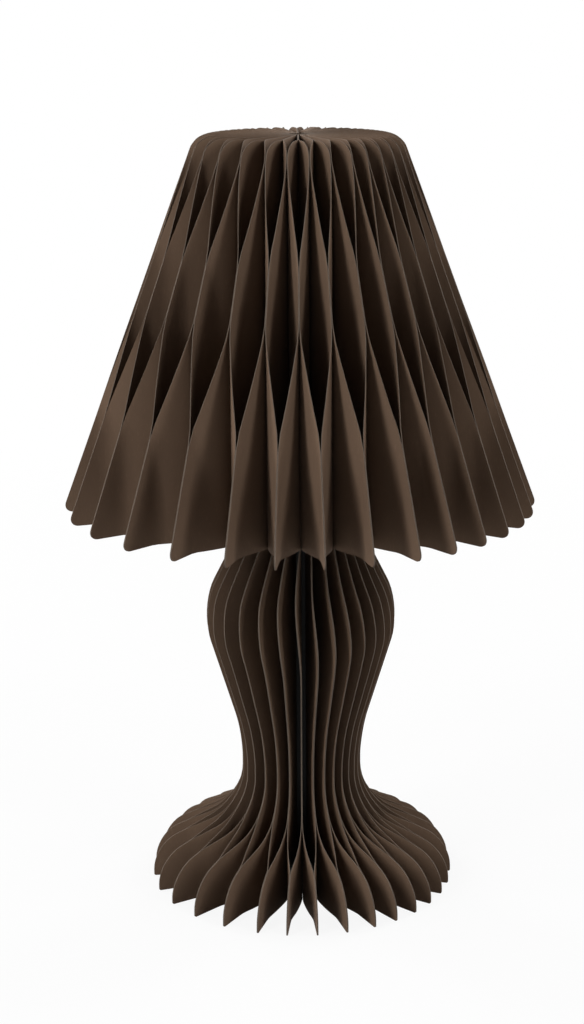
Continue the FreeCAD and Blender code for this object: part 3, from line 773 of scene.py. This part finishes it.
class LAMP_OT_base(bpy.types.Operator):
    """Finishes the base of the light unit"""
    bl_idname = "lamp.base"
    bl_label = "Base"

    def execute(self, context):
        unit = context.scene.lamp_unit
        plastic = moulded_finish("base_plastic", unit.plastic_colour)
        dress(plastic, "base_shell", "bottom_plate", "diffuser_collar", "diffuser_cap",
              "cell_seat_lower", "cell_seat_upper")
        dress(rubber_finish("foot_rubber", unit.rubber_colour), "rubber_foot_ring")
        dress(moulded_finish("button_plastic", unit.button_colour, 0.35),
              "button_cap", "switch_plunger")
        dress(drawn_metal_finish("zinc_plate", (0.55, 0.55, 0.53), 0.35, (1, 1, 1)),
              "base_screws", "board_screws")
        dress(drawn_metal_finish("contact_nickel", (0.60, 0.58, 0.53), 0.28, (1, 0.1, 1)),
              "cell_contact_minus", "cell_contact_plus")
        dress(socket_finish("socket_steel", (0.55, 0.55, 0.55), (0.012, 0.012, 0.012)),
              "usb_c_socket")
        dress(drawn_metal_finish("turned_steel", (0.35, 0.35, 0.35), 0.45, (1, 1, 8)),
              "ballast_ring")
        dress(circuit_finish("solder_mask", unit.board_colour), "control_board")
        dress(moulded_finish("black_epoxy", (0.012, 0.012, 0.012), 0.45),
              "board_components", "tact_switch")
        return {"FINISHED"}


class LAMP_OT_column(bpy.types.Operator):
    """Finishes the stem, the cell and the light column"""
    bl_idname = "lamp.column"
    bl_label = "Light Column"

    def execute(self, context):
        unit = context.scene.lamp_unit
        dress(anodised_finish("black_anodised", unit.stem_colour), "stem_tube")
        dress(drawn_metal_finish("extruded_aluminium", (0.62, 0.61, 0.60), 0.35, (1, 1, 0.02)),
              "led_post")
        dress(opal_finish("opal_tube", unit.diffuser_colour), "diffuser_tube")
        dress(cell_finish("cell_sleeve", unit.cell_colour), "battery_cell")
        dress(wire_finish("wire_sleeve", (0.30, 0.010, 0.008), (0.010, 0.010, 0.010)),
              "lead_wires")
        dress(light_board_finish("light_board", (0.78, 0.77, 0.73), (0.75, 0.52, 0.06)),
              "led_strips")
        return {"FINISHED"}


# ----------------------------------------------------------------------- stage
def backdrop_finish(name, strength, reach):
    """White to look at, takes the lamp's shadow, and is clear from below."""
    finish = Finish(name, {"Roughness": 0.9, "Base Color": (0.45, 0.45, 0.45, 1.0)})
    seen = finish.background_rays()
    from_lamp = finish.add("ShaderNodeVectorMath", {"operation": "LENGTH"},
                           {0: finish.place()}, output="Value")
    plain = finish.add("ShaderNodeMapRange", {}, {
        "Value": from_lamp, "From Max": reach, "To Min": strength, "To Max": 1.0})
    white = finish.add("ShaderNodeEmission", {}, {"Strength": 1.0})
    painted = finish.add("ShaderNodeMixShader", {}, {
        "Fac": seen * plain, 1: Value(finish, finish.shader.outputs["BSDF"]), 2: white})
    below = finish.add("ShaderNodeNewGeometry", output="Backfacing")
    clear = finish.add("ShaderNodeBsdfTransparent")
    both = finish.add("ShaderNodeMixShader", {}, {"Fac": below, 1: painted, 2: clear})
    output = finish.tree.nodes["Material Output"]
    finish.connect(output.inputs["Surface"], both)
    return finish.material


def soft_light(name, place, size, power):
    """A soft box of this width and height that faces the lamp."""
    lamp = bpy.data.lights.new(name, "AREA")
    lamp.shape = "RECTANGLE"
    lamp.size, lamp.size_y = size
    lamp.energy = power
    obj = bpy.data.objects.new(name, lamp)
    obj.location = place
    towards = Vector(LIGHT_TARGET) - Vector(place)
    obj.rotation_euler = towards.to_track_quat("-Z", "Y").to_euler()
    bpy.context.scene.collection.objects.link(obj)


class LAMP_OT_stage(bpy.types.Operator):
    """Sets up the floor, the soft lights, the sky and the camera"""
    bl_idname = "lamp.stage"
    bl_label = "Stage"

    def execute(self, context):
        stage = context.scene.lamp_stage
        self.make_floor(context, stage)
        self.make_lights(stage)
        self.make_sky(context, stage)
        self.make_camera(context, stage)
        context.scene.view_settings.view_transform = "Standard"
        return {"FINISHED"}

    def make_floor(self, context, stage):
        """A wide round floor with an opening under the lamp's base."""
        bm = bmesh.new()
        bmesh.ops.create_circle(bm, cap_ends=True, segments=FLOOR_SIDES,
                                radius=stage.floor_radius)
        under_base = bm.faces[:]
        width = (stage.floor_radius - stage.floor_opening) * math.cos(math.pi / FLOOR_SIDES)
        bmesh.ops.inset_region(bm, faces=under_base, thickness=width, use_boundary=True,
                               use_even_offset=True)
        bmesh.ops.delete(bm, geom=under_base, context="FACES")
        mesh = bpy.data.meshes.new("floor")
        bm.to_mesh(mesh)
        bm.free()
        mesh.materials.append(backdrop_finish("floor_white", stage.floor_glow,
                                              stage.shadow_reach))
        floor = bpy.data.objects.new("floor", mesh)
        context.scene.collection.objects.link(floor)

    def make_lights(self, stage):
        """Six upright lights round the lamp, one above it and one below the floor."""
        upright = (stage.light_width, stage.light_tall)
        for name, angle, power in (
                ("left_light", -stage.side_angle, stage.left_power),
                ("right_light", stage.side_angle, stage.right_power),
                ("left_rim_light", -stage.rim_angle, stage.left_rim_power),
                ("right_rim_light", stage.rim_angle, stage.right_rim_power),
                ("back_left_light", -stage.back_angle, stage.back_power),
                ("back_right_light", stage.back_angle, stage.back_power)):
            place = (stage.light_distance * math.sin(angle),
                     -stage.light_distance * math.cos(angle), stage.light_height)
            soft_light(name, place, upright, power)
        square = (stage.top_width, stage.top_width)
        soft_light("top_light", (0.0, 0.0, stage.top_height), square, stage.top_power)
        soft_light("under_light", (*UNDER_LIGHT_ASIDE, -stage.top_height), square,
                   stage.under_power)

    def make_sky(self, context, stage):
        """White to look at, and almost no light from it."""
        world = bpy.data.worlds.new("sky")
        world.use_nodes = True
        context.scene.world = world
        sky = Graph(world.node_tree)
        strength = sky.add("ShaderNodeMapRange", {}, {
            "Value": sky.background_rays(), "To Min": stage.sky_strength, "To Max": 1.0})
        background = sky.tree.nodes["Background"]
        sky.connect(background.inputs["Color"], (1.0, 1.0, 1.0))
        sky.connect(background.inputs["Strength"], strength)

    def make_camera(self, context, stage):
        """The photograph's view, fitted to the tips of the shade and the foot."""
        data = bpy.data.cameras.new("photo_view")
        data.sensor_fit = "VERTICAL"
        data.sensor_height = SENSOR_HEIGHT
        data.lens = stage.focal_pixels / PHOTO_HEIGHT * data.sensor_height
        data.shift_x = (PHOTO_WIDTH / 2 - stage.centre_column) / PHOTO_HEIGHT
        camera = bpy.data.objects.new("photo_view", data)
        camera.location = (0.0, -stage.camera_distance, stage.camera_height)
        tilt = Matrix.Rotation(math.pi / 2 - stage.camera_pitch, 3, "X")
        roll = Matrix.Rotation(stage.camera_roll, 3, "Z")
        camera.rotation_euler = (tilt @ roll).to_euler()
        context.scene.collection.objects.link(camera)
        context.scene.camera = camera


class LAMP_PT_panel(bpy.types.Panel):
    """Lists the steps that make the lamp"""
    bl_idname = "LAMP_PT_panel"
    bl_label = "Paper Lamp"
    bl_space_type = "VIEW_3D"
    bl_region_type = "UI"
    bl_category = "Paper Lamp"

    def draw(self, context):
        for operator in OPERATORS:
            self.layout.operator(operator.bl_idname)


OPERATORS = (
    LAMP_OT_paper_leaves,
    LAMP_OT_seam,
    LAMP_OT_base,
    LAMP_OT_column,
    LAMP_OT_stage,
)
SETTINGS = (PaperSettings, LightUnitSettings, StageSettings)


def register():
    for group in SETTINGS + OPERATORS + (LAMP_PT_panel,):
        bpy.utils.register_class(group)
    bpy.types.Scene.lamp_paper = PointerProperty(type=PaperSettings)
    bpy.types.Scene.lamp_unit = PointerProperty(type=LightUnitSettings)
    bpy.types.Scene.lamp_stage = PointerProperty(type=StageSettings)


def unregister():
    del bpy.types.Scene.lamp_stage
    del bpy.types.Scene.lamp_unit
    del bpy.types.Scene.lamp_paper
    for group in reversed(SETTINGS + OPERATORS + (LAMP_PT_panel,)):
        bpy.utils.unregister_class(group)


def main():
    register()
    bpy.ops.lamp.paper_leaves()
    bpy.ops.lamp.seam()
    bpy.ops.lamp.base()
    bpy.ops.lamp.column()
    bpy.ops.lamp.stage()


if __name__ == "__main__":
    main()
